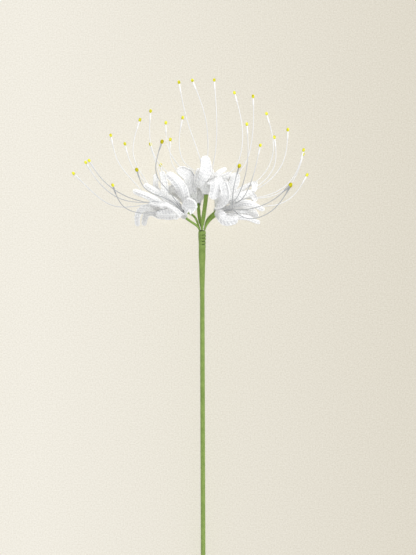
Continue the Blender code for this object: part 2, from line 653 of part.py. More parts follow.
def main():
    """Build the flower."""
    clear_scene()
    collection = bpy.data.collections.new("spider_lily")
    bpy.context.scene.collection.children.link(collection)
    root = bpy.data.objects.new("spider_lily_frame", None)
    collection.objects.link(root)
    green = material("green_thread", GREEN, 0.85)
    dark_green = material("pedicel_thread", DARK_GREEN, 0.85)
    white = material("white_cotton", WHITE, 0.9)
    stamen_look = material("stamen_thread", YELLOW_WHITE, 0.8)
    steel = material("wire", STEEL, 0.35, 1.0)

    make_stem(collection, root, green, steel)
    petals = petal_paths()
    stamens = stamen_paths()
    pedicels = pedicel_paths()
    settle(petals, stamens, pedicels)
    for pedicel in pedicels:
        made = bpy.data.objects.new(pedicel["name"], pedicel_curve(pedicel))
        made.data.materials.append(dark_green)
        link(made, collection, root)
    for petal in petals:
        made = bpy.data.objects.new(petal["name"], petal_mesh(petal))
        made.data.shade_smooth()
        made.data.materials.append(white)
        link(made, collection, root)
    for name in sorted({stamen["name"] for stamen in stamens}):
        legs = [stamen for stamen in stamens if stamen["name"] == name]
        made = bpy.data.objects.new(name, stamen_wire(name, legs))
        made.data.materials.append(stamen_look)
        link(made, collection, root)
    stand_on_origin(root, collection)


main()
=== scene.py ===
"""Looks of a crocheted spider lily that lies on a pale floor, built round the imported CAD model.

Every place comes from the CAD nodes: each node's rings of corners give a middle line, and the yarn, the
wound thread and the wires are laid along it. Lengths are in millimetres unless their comment says metres.
"""

import json
import math

import bpy
import numpy as np
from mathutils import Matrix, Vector

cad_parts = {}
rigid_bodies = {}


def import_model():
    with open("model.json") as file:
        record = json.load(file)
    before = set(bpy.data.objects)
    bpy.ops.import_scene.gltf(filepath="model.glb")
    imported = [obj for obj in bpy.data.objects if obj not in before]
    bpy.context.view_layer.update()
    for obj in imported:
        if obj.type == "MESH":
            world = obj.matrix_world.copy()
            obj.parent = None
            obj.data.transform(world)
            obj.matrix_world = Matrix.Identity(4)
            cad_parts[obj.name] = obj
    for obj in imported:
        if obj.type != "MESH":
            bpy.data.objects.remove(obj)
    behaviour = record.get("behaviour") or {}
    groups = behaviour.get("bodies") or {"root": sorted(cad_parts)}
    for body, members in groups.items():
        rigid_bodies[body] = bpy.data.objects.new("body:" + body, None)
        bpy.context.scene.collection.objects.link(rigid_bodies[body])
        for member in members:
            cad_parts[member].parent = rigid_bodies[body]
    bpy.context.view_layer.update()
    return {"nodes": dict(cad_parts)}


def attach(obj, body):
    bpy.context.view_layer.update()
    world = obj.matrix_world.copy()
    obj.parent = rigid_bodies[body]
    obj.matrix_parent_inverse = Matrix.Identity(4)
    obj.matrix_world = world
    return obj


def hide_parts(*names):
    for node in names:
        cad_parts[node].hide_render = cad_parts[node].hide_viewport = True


MM = 0.001
SEED = 7

# The CAD solids, as they are built
PETAL_CORNERS = 8           # round each ring of a petal, fewer where its root has no fold
STAMEN_CORNERS = 6
STEM_CORNERS = 8            # of the pedicels too
ANTHER_RINGS = 4            # in each anther of a stamen
FOLD_MEAN = 0.375           # a petal ring's mean height, of the height of its folded edges
FLORETS = 6
PETALS = 6                  # in each floret
BORE_REACH = 1.5            # the corners of the stem's bore lie nearer to its line than this
FLAT = 0.9999               # the least cosine between the normals of one flat end's triangles
EVEN = 1.05                 # the most by which a flat end's corners differ in distance from its middle

# The petals' crochet
STITCH = 2.6                # from one stitch to the next, along the edge and along the midrib
YARN_RADIUS = 0.5
YARN_SIDES = 6
LOOP_POINTS = 8             # along each leg of a loop
MIDRIB_FROM = 0.3           # from the root to the first loop
MIDRIB_LAP = 1.25           # a leg's length along the midrib, by the way to the next stitch
MIDRIB_UNEVEN = 0.04        # the most that a leg is out of its place, by the same way
EDGE_LAP = 1.3              # and the same along the edge
EDGE_UNEVEN = 0.06
POST_POINTS = 9
POST_FROM = 0.3             # from the midrib
POST_LEAST = 1.0            # the least length of a post across, apart from those near the tip
NEAR_TIP = 0.7              # the share of a petal's length from which a post may be shorter
POST_TURNS = 1.1            # how often a post's two strands turn round each other
POST_LEAN = 0.35            # how far a post leans to the tip for each millimetre across
POST_BOW = 0.25             # the most that a post bends to either side
POST_APART = 0.84           # from a post's middle to each strand's, by the yarn's radius
FAN = 1.1                   # the length of the tip's fan of posts, by the half width there
CORE_FROM = 0.3             # from the root
CORE_TO = 0.7               # from the tip
CORE_HALF_THICKNESS = 0.68
CORE_LEAST_HALF = 0.12
CORE_ROWS = 46
CORE_SIDES = 12
STITCH_INSET = 0.45         # of the core's edge and the posts' ends from the petal's edge
LOOP_INSET = 0.4            # of the edge loops
EDGE_WAVE = 0.3
EDGE_WAVE_LENGTH = 11.0
EDGE_WAVE_SKEW = 0.5
EDGE_WAVE_FROM = (4.0, 12.0)    # from the root, where it starts and where it is full
EDGE_FROM = 0.2             # from the root
EDGE_POINTS = 160           # along each side of a petal's edge
FRAME_POINTS = 220          # along a petal's middle line
TIP_POINTS = 12             # of those, from the tip to where the petal's width is read for its rounding
TIP_ROUNDING = 1.15         # the rounded tip's length, by the half width there
LEAST_HALF_WIDTH = 0.5
FULL_SIZE_FROM = 2.1        # half width from which the stitches have their full size
LEAST_SIZE = 0.42           # of the stitches at a narrow root, by their full size
COTTON_SUBSURFACE = 0.12

# The thread wound round the stem and the pedicels, and round the stamens' wires
WINDING = 0.85
THREAD_RADIUS = 0.47
THREAD_SIDES = 5
TURN_POINTS = 12            # of the thread, in each turn
STEM_ROWS = 320             # of the core under the stem's thread
PEDICEL_WINDING = 0.9       # by the stem's
PEDICEL_THREAD = 0.85       # by the stem's
PEDICEL_SPACING = 0.7       # of the rows of its core
STAMEN_WINDING = 1.0
STAMEN_SIDES = 7
STAMEN_ROWS = 3.1           # for each turn of the winding
STAMEN_RIDGE = 0.05
STAMEN_THINNING = 0.07      # of the wound wire, from the CAD tube's radius
SWELLING_LENGTH = 6.0       # of thicker winding below an anther
SWELLING_FULL = 0.6         # the share of that length with the full swelling
SWELLING = 0.28
ANTHER_HELD = 2             # of an anther's rings, that the wound wire reaches into it
ANTHER_HALF_LENGTH = 1.5
ANTHER_VARIETY = 0.1        # of its length
ANTHER_SIDES = 12           # and as many rows
ANTHER_OVERHANG = 0.3       # beyond the CAD anther's tip
ANTHER_LUMPS = 0.07
ANTHER_GROOVE = 0.22
ANTHER_FULLNESS = 1.05      # of its widest place, by the CAD anther's radius
# Stamens with painted shade all along their wires and anthers; their anthers are also fuller
FULLY_SHADED_STAMENS = ("floret_1_stamens_3", "floret_6_stamens_1", "floret_6_stamens_3")
FULLY_SHADED_FULLNESS = 1.2         # of the anthers of the stamens with painted shade all along, by the others'
LONG_SHADED_STAMENS = ("floret_1_stamens_1", "floret_1_stamens_2")  # wires with painted shade most of the way out

# Which of a piece's materials is which: thread or yarn comes first, then a core or an anther
THREAD_LOOK = 0
# A core's look is a darker copy of its yarn or thread: painted shade in the gaps between the stitches or
# windings
CORE_LOOK = 1
ANTHER_LOOK = 1
SWELLING_LOOK = 2

# The binding round the collar's top: bands of thread, each lapping over the next one down
BINDING_LENGTH = 13.2
BINDING_BAND = 2.6
BINDING_FROM = 0.2          # below the collar's top
BINDING_GROOVE = 0.5
BINDING_LAP = 0.25
BINDING_EDGE = (0.05, 0.4)  # where a band's edge rises out of the groove, by the band's width
BINDING_AWAY = 0.3          # the bands' relief on the stem's left side, by that on its right
BINDING_TURN = (-0.6, 0.1)  # where the one turns into the other, by how far the thread faces right

# Threads: strands, the length of one twist, and the depth of the grooves between the strands
COTTON_TWIST = (2.0, 1.6, 0.12)
WIRE_THREAD_TWIST = (1.0, 0.5, 0.05)
GREEN_TWIST = (2.0, 0.9, 0.06)
FUZZ = 0.35                 # the loose fibres' height, by the strands'
STRAND_TONE = 0.45          # the strands' share in a thread's tone, with painted shade in the grooves between them, of which patches have the rest

# Each thread's dark and light tones, and those of the steel
WHITE_COTTON = ((0.84, 0.845, 0.85), (0.93, 0.93, 0.925))
# A darker copy of the white cotton for the petals' cores: painted shade where they show between the
# stitches
COTTON_PAINTED_SHADE = ((0.65, 0.655, 0.66), (0.76, 0.762, 0.765))
# A lighter copy of the white thread for the thicker winding below each anther: painted light
LIT_THREAD = ((0.80, 0.805, 0.81), (0.90, 0.90, 0.895))
WHITE_THREAD = ((0.70, 0.71, 0.72), (0.81, 0.815, 0.82))
# A darker copy of the white thread: painted shade on the wires that are grey most of the way out
LONG_SHADED_THREAD = ((0.66, 0.67, 0.68), (0.77, 0.775, 0.78))
# A grey copy of the white thread: painted shade all along those stamens' wires
SHADED_GREY_THREAD = ((0.33, 0.34, 0.35), (0.46, 0.47, 0.48))
GREEN_THREAD = ((0.12, 0.21, 0.03), (0.32, 0.44, 0.12))
# A lighter copy of the stem's green thread for the pedicels: painted light
LIT_GREEN_THREAD = ((0.13, 0.24, 0.035), (0.34, 0.48, 0.12))
# A darker copy of the green thread for the stem's and pedicels' cores: painted shade where they show
# between the windings
GREEN_PAINTED_SHADE = ((0.05, 0.09, 0.015), (0.10, 0.16, 0.03))
STEEL = ((0.32, 0.32, 0.33), (0.6, 0.6, 0.6))

# The anthers' dark, middle and light tones
YELLOW_ANTHER = ((0.50, 0.45, 0.012), (0.74, 0.72, 0.035), (0.83, 0.84, 0.09))
# A darker copy of the anthers' yellow: painted shade on those stamens' anthers
SHADED_ANTHER = ((0.34, 0.29, 0.001), (0.50, 0.45, 0.004), (0.68, 0.64, 0.015))

# Painted shade that turns the wires grey near the florets' middle and high above the floor, in metres
SHADE_MIDDLE = (0.0094, 0.105, 0.060)
SHADE_HEIGHTS = (0.05, 0.08)       # where it starts, and where it is full
SHADE_TONE = (0.40, 0.41, 0.42)
SHADE_REACH = (0.035, 0.08)        # how far out it is full, and where it ends
# The same painted shade, darker and further out, for the wires with painted shade most of the way out
LONG_SHADE_TONE = (0.36, 0.37, 0.38)
LONG_SHADE_REACH = (0.078, 0.108)

# The stage, in metres
CAMERA_HEIGHT = 12.0        # above the middle of the head
HEAD_MIDDLE = 0.042         # above the floor
VIEW_MIDDLE = (0.0142, 0.0504)
VIEW_HEIGHT = 0.444         # seen from the view's top to its bottom
SENSOR_WIDTH = 36.0         # in millimetres
FLOOR_SIZE = 60.0
# Painted shade on the floor: its colour turns darker to the right
FLOOR_TONES = 0.3           # the width over which the floor turns from its light to its dark end
FLOOR_ORIGIN = 0.42         # the origin's place on that width, from 0 to 1
FLOOR_LIGHT_END = 0.33      # its shade, from 0 for the first colour below to 1 for the second
FLOOR_SHADES = 0.34         # from the light end's shade to the dark end's
FLOOR_GRAIN = 0.9
FLOOR_PALE = (0.885, 0.858, 0.785)
FLOOR_DARK = (0.54, 0.495, 0.395)

# The lights: places and sizes in metres, watts for the two square ones, degrees for the suns' spread
SQUARES_FACE = (0.0, 0.1, 0.0)
KEY_PLACE = (1.3, 2.4, 1.8)
KEY_SIZE = 1.2
KEY_POWER = 54.0
KEY_COLOUR = (1.0, 0.995, 0.985)
FRONT_PLACE = (0.4, 0.1, 3.0)
FRONT_SIZE = 2.4
FRONT_POWER = 23.0
WHITE = (1.0, 1.0, 1.0)
DOME_STRENGTH = 1.58
DOME_SPREAD = 150.0
FLOOR_LIGHT_STRENGTH = 2.54
FLOOR_LIGHT_SPREAD = 20.0
WALL_COLOUR = (0.97, 0.98, 1.0)
WALL_STRENGTH = 0.80
SKY_STRENGTH = 0.34
WALL_TOP = (0.05, 0.15)     # sines of the heights where it starts to turn into the sky and where it has

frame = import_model()


# ---------------------------------------------------------------- reading the frame

def node_mesh(node):
    """A CAD node's corners in millimetres, with doubles merged, and its triangles."""
    mesh = frame["nodes"][node].data
    places = np.empty(len(mesh.vertices) * 3, np.float32)
    mesh.vertices.foreach_get("co", places)
    corners, index = np.unique(np.round(places.reshape(-1, 3), 6), axis=0, return_inverse=True)
    mesh.calc_loop_triangles()
    faces = np.empty(len(mesh.loop_triangles) * 3, np.int32)
    mesh.loop_triangles.foreach_get("vertices", faces)
    return corners.astype(float) / MM, index.reshape(-1)[faces].reshape(-1, 3)


def linked(faces, count):
    """Each corner's neighbours."""
    links = [set() for _ in range(count)]
    for a, b, c in faces.tolist():
        links[a].update((b, c))
        links[b].update((a, c))
        links[c].update((a, b))
    return links


def levels(start, links):
    """Groups of corners by how many steps they lie from the start."""
    groups = [sorted(start)]
    seen = set(start)
    while True:
        reached = sorted({n for corner in groups[-1] for n in links[corner]} - seen)
        if not reached:
            return groups
        seen.update(reached)
        groups.append(reached)


def flat_ends(corners, faces, sides):
    """The corners of each flat end of a tube: a regular polygon of that many sides."""
    first, second, third = (corners[faces[:, i]] for i in range(3))
    normals = unit(np.cross(second - first, third - first))
    by_edge = {}
    for number, face in enumerate(faces.tolist()):
        for a, b in ((0, 1), (1, 2), (2, 0)):
            by_edge.setdefault(frozenset((face[a], face[b])), []).append(number)
    beside = [set() for _ in faces]
    for pair in by_edge.values():
        for one in pair:
            beside[one].update(other for other in pair if normals[one].dot(normals[other]) > FLAT)
    ends, seen = [], set()
    for number in range(len(faces)):
        if number in seen:
            continue
        group = {n for level in levels([number], beside) for n in level}
        seen |= group
        ring = sorted({corner for n in group for corner in faces[n].tolist()})
        if len(group) != sides - 2 or len(ring) != sides:
            continue
        away = np.linalg.norm(corners[ring] - corners[ring].mean(axis=0), axis=1)
        if away.max() < EVEN * away.min():
            ends.append(ring)
    return ends


def tube_rings(node, sides):
    """The middle and radius of each ring of a tube, from one end to the other."""
    corners, faces = node_mesh(node)
    start = flat_ends(corners, faces, sides)[0]
    rings = levels(start, linked(faces, len(corners)))
    middles = np.array([corners[ring].mean(axis=0) for ring in rings])
    radii = np.array([np.linalg.norm(corners[ring] - middle, axis=1).mean()
                      for ring, middle in zip(rings, middles)])
    return middles, radii


def petal_rings(node, root_near):
    """A petal's root and tip, and its rings' middles, half width vectors and fold vectors between them."""
    corners, faces = node_mesh(node)
    links = linked(faces, len(corners))
    ends = []
    for corner in range(len(corners)):
        groups = levels([corner], links)
        if len(groups[-1]) == 1 and max(len(group) for group in groups) == PETAL_CORNERS:
            ends.append((np.linalg.norm(corners[corner] - root_near), groups))
    groups = min(ends, key=lambda end: end[0])[1]
    middles, halves, folds = [], [], []
    for group in groups[1:-1]:
        ring = corners[group]
        apart = np.linalg.norm(ring[:, None] - ring[None], axis=2)
        one, other = np.unravel_index(np.argmax(apart), apart.shape)
        half = (ring[one] - ring[other]) / 2
        if halves and half.dot(halves[-1]) < 0:
            half = -half
        edges = (ring[one] + ring[other]) / 2
        fold = np.zeros(3)
        if len(group) == PETAL_CORNERS:
            fold = (edges - ring.mean(axis=0)) / (1.0 - FOLD_MEAN)
        middles.append(edges - fold)
        halves.append(half)
        folds.append(fold)
    root, tip = corners[groups[0][0]], corners[groups[-1][0]]
    return root, tip, np.array(middles), np.array(halves), np.array(folds)


# ---------------------------------------------------------------- curves

def unit(vectors):
    """The vectors at length 1."""
    return vectors / np.linalg.norm(vectors, axis=-1, keepdims=True)


def ease(x, low, high):
    """0 below low, 1 above high, and smooth between them."""
    t = np.clip((np.asarray(x, float) - low) / (high - low), 0.0, 1.0)
    return t * t * (3.0 - 2.0 * t)


def run_length(points):
    """Distance along the points from the first one."""
    return np.concatenate([[0.0], np.cumsum(np.linalg.norm(np.diff(points, axis=0), axis=1))])


def spline(knots, values, at):
    """Natural cubic spline through the values at the knots, read at other places."""
    steps = np.diff(knots)
    count = len(knots)
    system = np.eye(count)
    known = np.zeros((count, values.shape[1]))
    for i in range(1, count - 1):
        left, right = steps[i - 1], steps[i]
        system[i, i - 1:i + 2] = left, 2.0 * (left + right), right
        known[i] = 6.0 * ((values[i + 1] - values[i]) / right - (values[i] - values[i - 1]) / left)
    bends = np.linalg.solve(system, known)
    span = np.clip(np.searchsorted(knots, at, side="right") - 1, 0, count - 2)
    step = steps[span][:, None]
    before = (at - knots[span])[:, None]
    after = (knots[span + 1] - at)[:, None]
    out = (bends[span] * after ** 3 + bends[span + 1] * before ** 3) / (6.0 * step)
    out += (values[span] / step - bends[span] * step / 6.0) * after
    return out + (values[span + 1] / step - bends[span + 1] * step / 6.0) * before


def smooth_line(points, spacing):
    """A smooth curve through the points at about that spacing, and each place's distance along it."""
    knots = run_length(points)
    fine = spline(knots, points, np.linspace(0.0, knots[-1], max(200, len(points) * 12)))
    along = run_length(fine)
    places = np.linspace(0.0, along[-1], max(2, int(round(along[-1] / spacing)) + 1))
    return np.stack([np.interp(places, along, fine[:, i]) for i in range(3)], axis=1), places


def carried_frames(paths):
    """For a batch of paths, the tangent and two square vectors at each point, carried without twisting."""
    tangents = unit(np.gradient(paths, axis=1))
    least = np.argmin(np.abs(tangents[:, 0]), axis=1)
    side = np.eye(3)[least]
    sides = np.empty_like(paths)
    for i in range(paths.shape[1]):
        along = tangents[:, i]
        side = unit(side - along * np.sum(side * along, axis=1)[:, None])
        sides[:, i] = side
    return tangents, sides, np.cross(tangents, sides)


# ---------------------------------------------------------------- meshes

class Builder:
    """Collects closed tubes into one mesh with a UV map: along in millimetres, and 0 to 1 around."""

    def __init__(self):
        self.places = []
        self.faces = []
        self.uvs = []
        self.looks = []
        self.count = 0

    def tubes(self, paths, radii, sides, look=THREAD_LOOK):
        """Closed round tubes along a batch of paths, with a radius at each point."""
        paths = np.asarray(paths, float)
        radii = np.broadcast_to(np.asarray(radii, float), paths.shape[:2])
        _, ups, acrosses = carried_frames(paths)
        angles = np.arange(sides) * 2 * math.pi / sides
        ring = ups[:, :, None] * np.cos(angles)[:, None] + acrosses[:, :, None] * np.sin(angles)[:, None]
        self.rings(paths[:, :, None] + ring * radii[:, :, None, None], look)

    def rings(self, places, look):
        """Closed tubes from a batch of rows of rings. The look is one for all, or one for each row."""
        batch, rows, sides, _ = places.shape
        index = self.count + np.arange(batch * rows * sides).reshape(batch, rows, sides)
        following = np.roll(index, -1, axis=2)
        quads = np.stack([index[:, :-1], following[:, :-1], following[:, 1:], index[:, 1:]], axis=-1)
        self.faces += quads.reshape(-1, 4).tolist()
        steps = np.linalg.norm(np.diff(places.mean(axis=2), axis=1), axis=2)
        along = np.concatenate([np.zeros((batch, 1)), np.cumsum(steps, axis=1)], axis=1)
        near = np.broadcast_to(along[:, :-1, None], quads.shape[:3])
        far = np.broadcast_to(along[:, 1:, None], quads.shape[:3])
        start = np.broadcast_to(np.arange(sides) / sides, quads.shape[:3])
        stop = start + 1.0 / sides
        uv = np.stack([near, start, near, stop, far, stop, far, start], axis=-1)
        self.uvs.append(uv.reshape(-1, 2))
        self.faces += index[:, 0, ::-1].tolist()
        self.faces += index[:, -1].tolist()
        around = np.arange(sides) / sides
        first = np.stack([np.zeros((batch, sides)),
                          np.broadcast_to(around[::-1], (batch, sides))], axis=-1)
        last = np.stack([np.broadcast_to(along[:, -1:], (batch, sides)),
                         np.broadcast_to(around, (batch, sides))], axis=-1)
        self.uvs += [first.reshape(-1, 2), last.reshape(-1, 2)]
        row_looks = np.broadcast_to(look, rows)[:-1, None]
        self.looks += np.broadcast_to(row_looks, quads.shape[:3]).ravel().tolist()
        self.looks += [int(row_looks[0, 0])] * batch + [int(row_looks[-1, 0])] * batch
        self.places.append(places.reshape(-1, 3))
        self.count += batch * rows * sides

    def finish(self, name, looks, replaced):
        """The mesh as an object that rides on the frame in place of its CAD node."""
        mesh = bpy.data.meshes.new(name)
        mesh.from_pydata(np.concatenate(self.places) * MM, [], self.faces)
        layer = mesh.uv_layers.new(name="yarn")
        layer.data.foreach_set("uv", np.concatenate(self.uvs).astype(np.float32).ravel())
        mesh.polygons.foreach_set("material_index", self.looks)
        for look in looks:
            mesh.materials.append(look)
        mesh.shade_smooth()
        mesh.update()
        made = bpy.data.objects.new(name, mesh)
        bpy.context.scene.collection.objects.link(made)
        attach(made, "root")
        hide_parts(replaced)
        return made


# ---------------------------------------------------------------- materials

def link_math(tree, operation, *values):
    """A Math node fed with sockets or numbers, as its output."""
    node = tree.nodes.new("ShaderNodeMath")
    node.operation = operation
    for socket, value in zip(node.inputs, values):
        if isinstance(value, bpy.types.NodeSocket):
            tree.links.new(value, socket)
        else:
            socket.default_value = value
    return node.outputs[0]


def noise(tree, scale, detail=3.0, roughness=0.5):
    """Noise over the object's own coordinates, as its value output. Scale is per metre."""
    where = tree.nodes.new("ShaderNodeTexCoord")
    node = tree.nodes.new("ShaderNodeTexNoise")
    node.inputs["Scale"].default_value = scale
    node.inputs["Detail"].default_value = detail
    node.inputs["Roughness"].default_value = roughness
    tree.links.new(where.outputs["Object"], node.inputs["Vector"])
    return node.outputs[0]


def ramp(tree, factor, *stops):
    """A colour ramp, as its colour output. Stops are (place, colour)."""
    node = tree.nodes.new("ShaderNodeValToRGB")
    while len(node.color_ramp.elements) < len(stops):
        node.color_ramp.elements.new(1.0)
    for element, (place, colour) in zip(node.color_ramp.elements, stops):
        element.position = place
        element.color = (*colour, 1.0)
    tree.links.new(factor, node.inputs["Fac"])
    return node.outputs["Color"]


def plies(tree, strands, lay):
    """The height of twisted strands over a tube's UV map, 0 to 1. Lay is the length of one twist."""
    where = tree.nodes.new("ShaderNodeUVMap")
    where.uv_map = "yarn"
    split = tree.nodes.new("ShaderNodeSeparateXYZ")
    tree.links.new(where.outputs["UV"], split.inputs[0])
    around = link_math(tree, "MULTIPLY", split.outputs["Y"], strands)
    along = link_math(tree, "DIVIDE", split.outputs["X"], lay)
    phase = link_math(tree, "MULTIPLY", link_math(tree, "ADD", around, along), math.pi)
    return link_math(tree, "ABSOLUTE", link_math(tree, "SINE", phase))


def bumped(tree, shader, height, strength, distance):
    """Feed a height to a shader's normal."""
    bump = tree.nodes.new("ShaderNodeBump")
    bump.inputs["Strength"].default_value = strength
    bump.inputs["Distance"].default_value = distance * MM
    tree.links.new(height, bump.inputs["Height"])
    tree.links.new(bump.outputs["Normal"], shader.inputs["Normal"])


def new_material(name):
    """A material, its tree and its Principled shader."""
    made = bpy.data.materials.new(name)
    made.use_nodes = True
    return made, made.node_tree, made.node_tree.nodes["Principled BSDF"]


def yarn_material(name, tones, twist, sheen, subsurface=0.0):
    """Spun thread: twisted strands with painted shade in the grooves between them, loose fibres, a soft
    sheen and a little unevenness of colour.
    """
    made, tree, shader = new_material(name)
    strands, lay, depth = twist
    dark, light = tones
    ply = plies(tree, strands, lay)
    fibres = noise(tree, 9000.0, 4.0, 0.7)
    patches = noise(tree, 260.0, 3.0)
    # The strands' height darkens the tone in the grooves between them: painted shade; the patches are
    # random
    tone = link_math(tree, "ADD", link_math(tree, "MULTIPLY", ply, STRAND_TONE),
                     link_math(tree, "MULTIPLY", patches, 1.0 - STRAND_TONE))
    tree.links.new(ramp(tree, tone, (0.2, dark), (0.75, light)), shader.inputs["Base Color"])
    height = link_math(tree, "ADD", ply, link_math(tree, "MULTIPLY", fibres, FUZZ))
    bumped(tree, shader, height, 0.8, depth)
    rough = link_math(tree, "ADD", link_math(tree, "MULTIPLY", fibres, 0.15), 0.75)
    tree.links.new(rough, shader.inputs["Roughness"])
    shader.inputs["Sheen Weight"].default_value = sheen
    shader.inputs["Sheen Roughness"].default_value = 0.5
    shader.inputs["Specular IOR Level"].default_value = 0.25
    shader.inputs["Subsurface Weight"].default_value = subsurface
    shader.inputs["Subsurface Radius"].default_value = (1.0, 1.0, 1.0)
    shader.inputs["Subsurface Scale"].default_value = 1.2 * MM
    return made


def paint_shade(made, tone, reach):
    """Paint shade on a thread: turn its colour to another, darker one near the florets' middle and high
    above the floor.
    """
    tree = made.node_tree
    near, far = reach
    low, high = SHADE_HEIGHTS
    shader = tree.nodes["Principled BSDF"]
    bright = shader.inputs["Base Color"].links[0].from_socket
    where = tree.nodes.new("ShaderNodeTexCoord").outputs["Object"]
    away = tree.nodes.new("ShaderNodeVectorMath")
    away.operation = "DISTANCE"
    tree.links.new(where, away.inputs[0])
    away.inputs[1].default_value = SHADE_MIDDLE
    split = tree.nodes.new("ShaderNodeSeparateXYZ")
    tree.links.new(where, split.inputs[0])
    weights = []
    for socket, start, stop in ((away.outputs["Value"], far, near), (split.outputs["Z"], low, high)):
        span = tree.nodes.new("ShaderNodeMapRange")
        span.interpolation_type = "SMOOTHSTEP"
        span.inputs["From Min"].default_value = start
        span.inputs["From Max"].default_value = stop
        tree.links.new(socket, span.inputs["Value"])
        weights.append(span.outputs["Result"])
    # Mix in the painted shade by both weights
    mix = tree.nodes.new("ShaderNodeMix")
    mix.data_type = "RGBA"
    tree.links.new(link_math(tree, "MULTIPLY", *weights), mix.inputs["Factor"])
    tree.links.new(bright, mix.inputs["A"])
    mix.inputs["B"].default_value = (*tone, 1.0)
    tree.links.new(mix.outputs["Result"], shader.inputs["Base Color"])


def anther_material(name, tones):
    """Yellow pollen paste: grainy, with darker patches."""
    made, tree, shader = new_material(name)
    dark, middle, light = tones
    grain = noise(tree, 2600.0, 4.0, 0.65)
    patches = noise(tree, 420.0, 2.0)
    colour = ramp(tree, patches, (0.32, dark), (0.48, middle), (0.68, light))
    tree.links.new(colour, shader.inputs["Base Color"])
    bumped(tree, shader, grain, 0.9, 0.25)
    shader.inputs["Roughness"].default_value = 0.7
    shader.inputs["Specular IOR Level"].default_value = 0.2
    return made


def wire_material():
    """Drawn steel, unevenly dull."""
    made, tree, shader = new_material("wire_steel")
    dark, light = STEEL
    scratches = noise(tree, 5200.0, 3.0)
    tree.links.new(ramp(tree, scratches, (0.3, dark), (0.7, light)), shader.inputs["Base Color"])
    rough = link_math(tree, "ADD", link_math(tree, "MULTIPLY", scratches, 0.3), 0.25)
    tree.links.new(rough, shader.inputs["Roughness"])
    bumped(tree, shader, scratches, 0.4, 0.05)
    shader.inputs["Metallic"].default_value = 1.0
    return made


# ---------------------------------------------------------------- petals

class Petal:
    """A petal's smooth frame, which turns places along, across and off the petal into places in space."""

    def __init__(self, node, root_near, random):
        root, tip, middles, halves, folds = petal_rings(node, root_near)
        points = np.vstack([root, middles, tip])
        knots = run_length(points)
        self.length = knots[-1]
        self.at = np.linspace(0.0, self.length, FRAME_POINTS)
        self.middle = spline(knots, points, self.at)
        self.way = unit(np.gradient(self.middle, axis=0))
        halves = np.vstack([halves[:1], halves, halves[-1:]])
        side = spline(knots, halves, self.at)
        side -= self.way * np.sum(side * self.way, axis=1)[:, None]
        self.half = np.maximum(np.linalg.norm(side, axis=1), LEAST_HALF_WIDTH)
        self.tip_half = self.half[-TIP_POINTS]
        self.side = unit(side)
        self.off = np.cross(self.way, self.side)
        folds = np.vstack([folds[:1], folds, folds[-1:]])
        self.fold = np.sum(spline(knots, folds, self.at) * self.off, axis=1)
        self.wave_phase = random.uniform(0.0, 2 * math.pi)
        self.wave_skew = random.uniform(-EDGE_WAVE_SKEW, EDGE_WAVE_SKEW)

    def read(self, table, s):
        """A table of the frame at distances along the petal."""
        s = np.clip(s, 0.0, self.length)
        if table.ndim == 1:
            return np.interp(s, self.at, table)
        return np.stack([np.interp(s, self.at, table[:, i]) for i in range(3)], axis=-1)

    def round_half(self, s):
        """Half the width with the tip rounded off."""
        reach = TIP_ROUNDING * self.tip_half
        into = np.clip((s - (self.length - reach)) / reach, 0.0, 1.0)
        return self.read(self.half, s) * np.sqrt(np.maximum(1.0 - into ** 2, 0.0))

    def size(self, s):
        """The stitches' size, smaller where the petal is narrow at its root."""
        return np.clip(self.read(self.half, s) / FULL_SIZE_FROM, LEAST_SIZE, 1.0)

    def place(self, s, x, z):
        """Places in space from places along, across and off the petal."""
        share = x / self.read(self.half, s)
        phase = 2 * math.pi * s / EDGE_WAVE_LENGTH + self.wave_phase + self.wave_skew * x
        wave = EDGE_WAVE * np.sin(phase) * ease(s, *EDGE_WAVE_FROM)
        lift = z + (self.read(self.fold, s) + wave) * share ** 2
        at = self.read(self.middle, s)
        return at + self.read(self.side, s) * x[..., None] + self.read(self.off, s) * lift[..., None]

    def edge(self, inset):
        """The petal's edge, up one side, round the tip and down the other: places along and across it."""
        s = self.length - (self.length - EDGE_FROM) * np.linspace(1.0, 0.0, EDGE_POINTS) ** 1.6
        half = np.maximum(self.round_half(s) - inset * self.size(s), 0.0)
        s = np.minimum(s, self.length - inset)
        loop = np.vstack([np.stack([s, half], axis=1), np.stack([s, -half], axis=1)[::-1]])
        steps = np.linalg.norm(np.diff(loop, axis=0), axis=1)
        keep = np.concatenate([[True], steps > 1e-4])
        return loop[keep]


def core(builder, petal):
    """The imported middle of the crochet, a crowned ribbon just under the stitches."""
    end = petal.length - CORE_TO
    s = end - (end - CORE_FROM) * np.linspace(1.0, 0.0, CORE_ROWS) ** 1.25
    angles = np.arange(CORE_SIDES) * 2 * math.pi / CORE_SIDES
    size = petal.size(s)
    half = np.maximum(petal.round_half(s) - STITCH_INSET * size, CORE_LEAST_HALF)
    x = half[:, None] * np.sign(np.cos(angles)) * np.abs(np.cos(angles)) ** 0.8
    z = (CORE_HALF_THICKNESS * size)[:, None] * np.sin(angles) * ease(half, 0.0, 1.6)[:, None]
    places = petal.place(np.broadcast_to(s[:, None], x.shape), x, z)
    # Darker cotton: painted shade where the core shows between the posts
    builder.rings(places[None], CORE_LOOK)


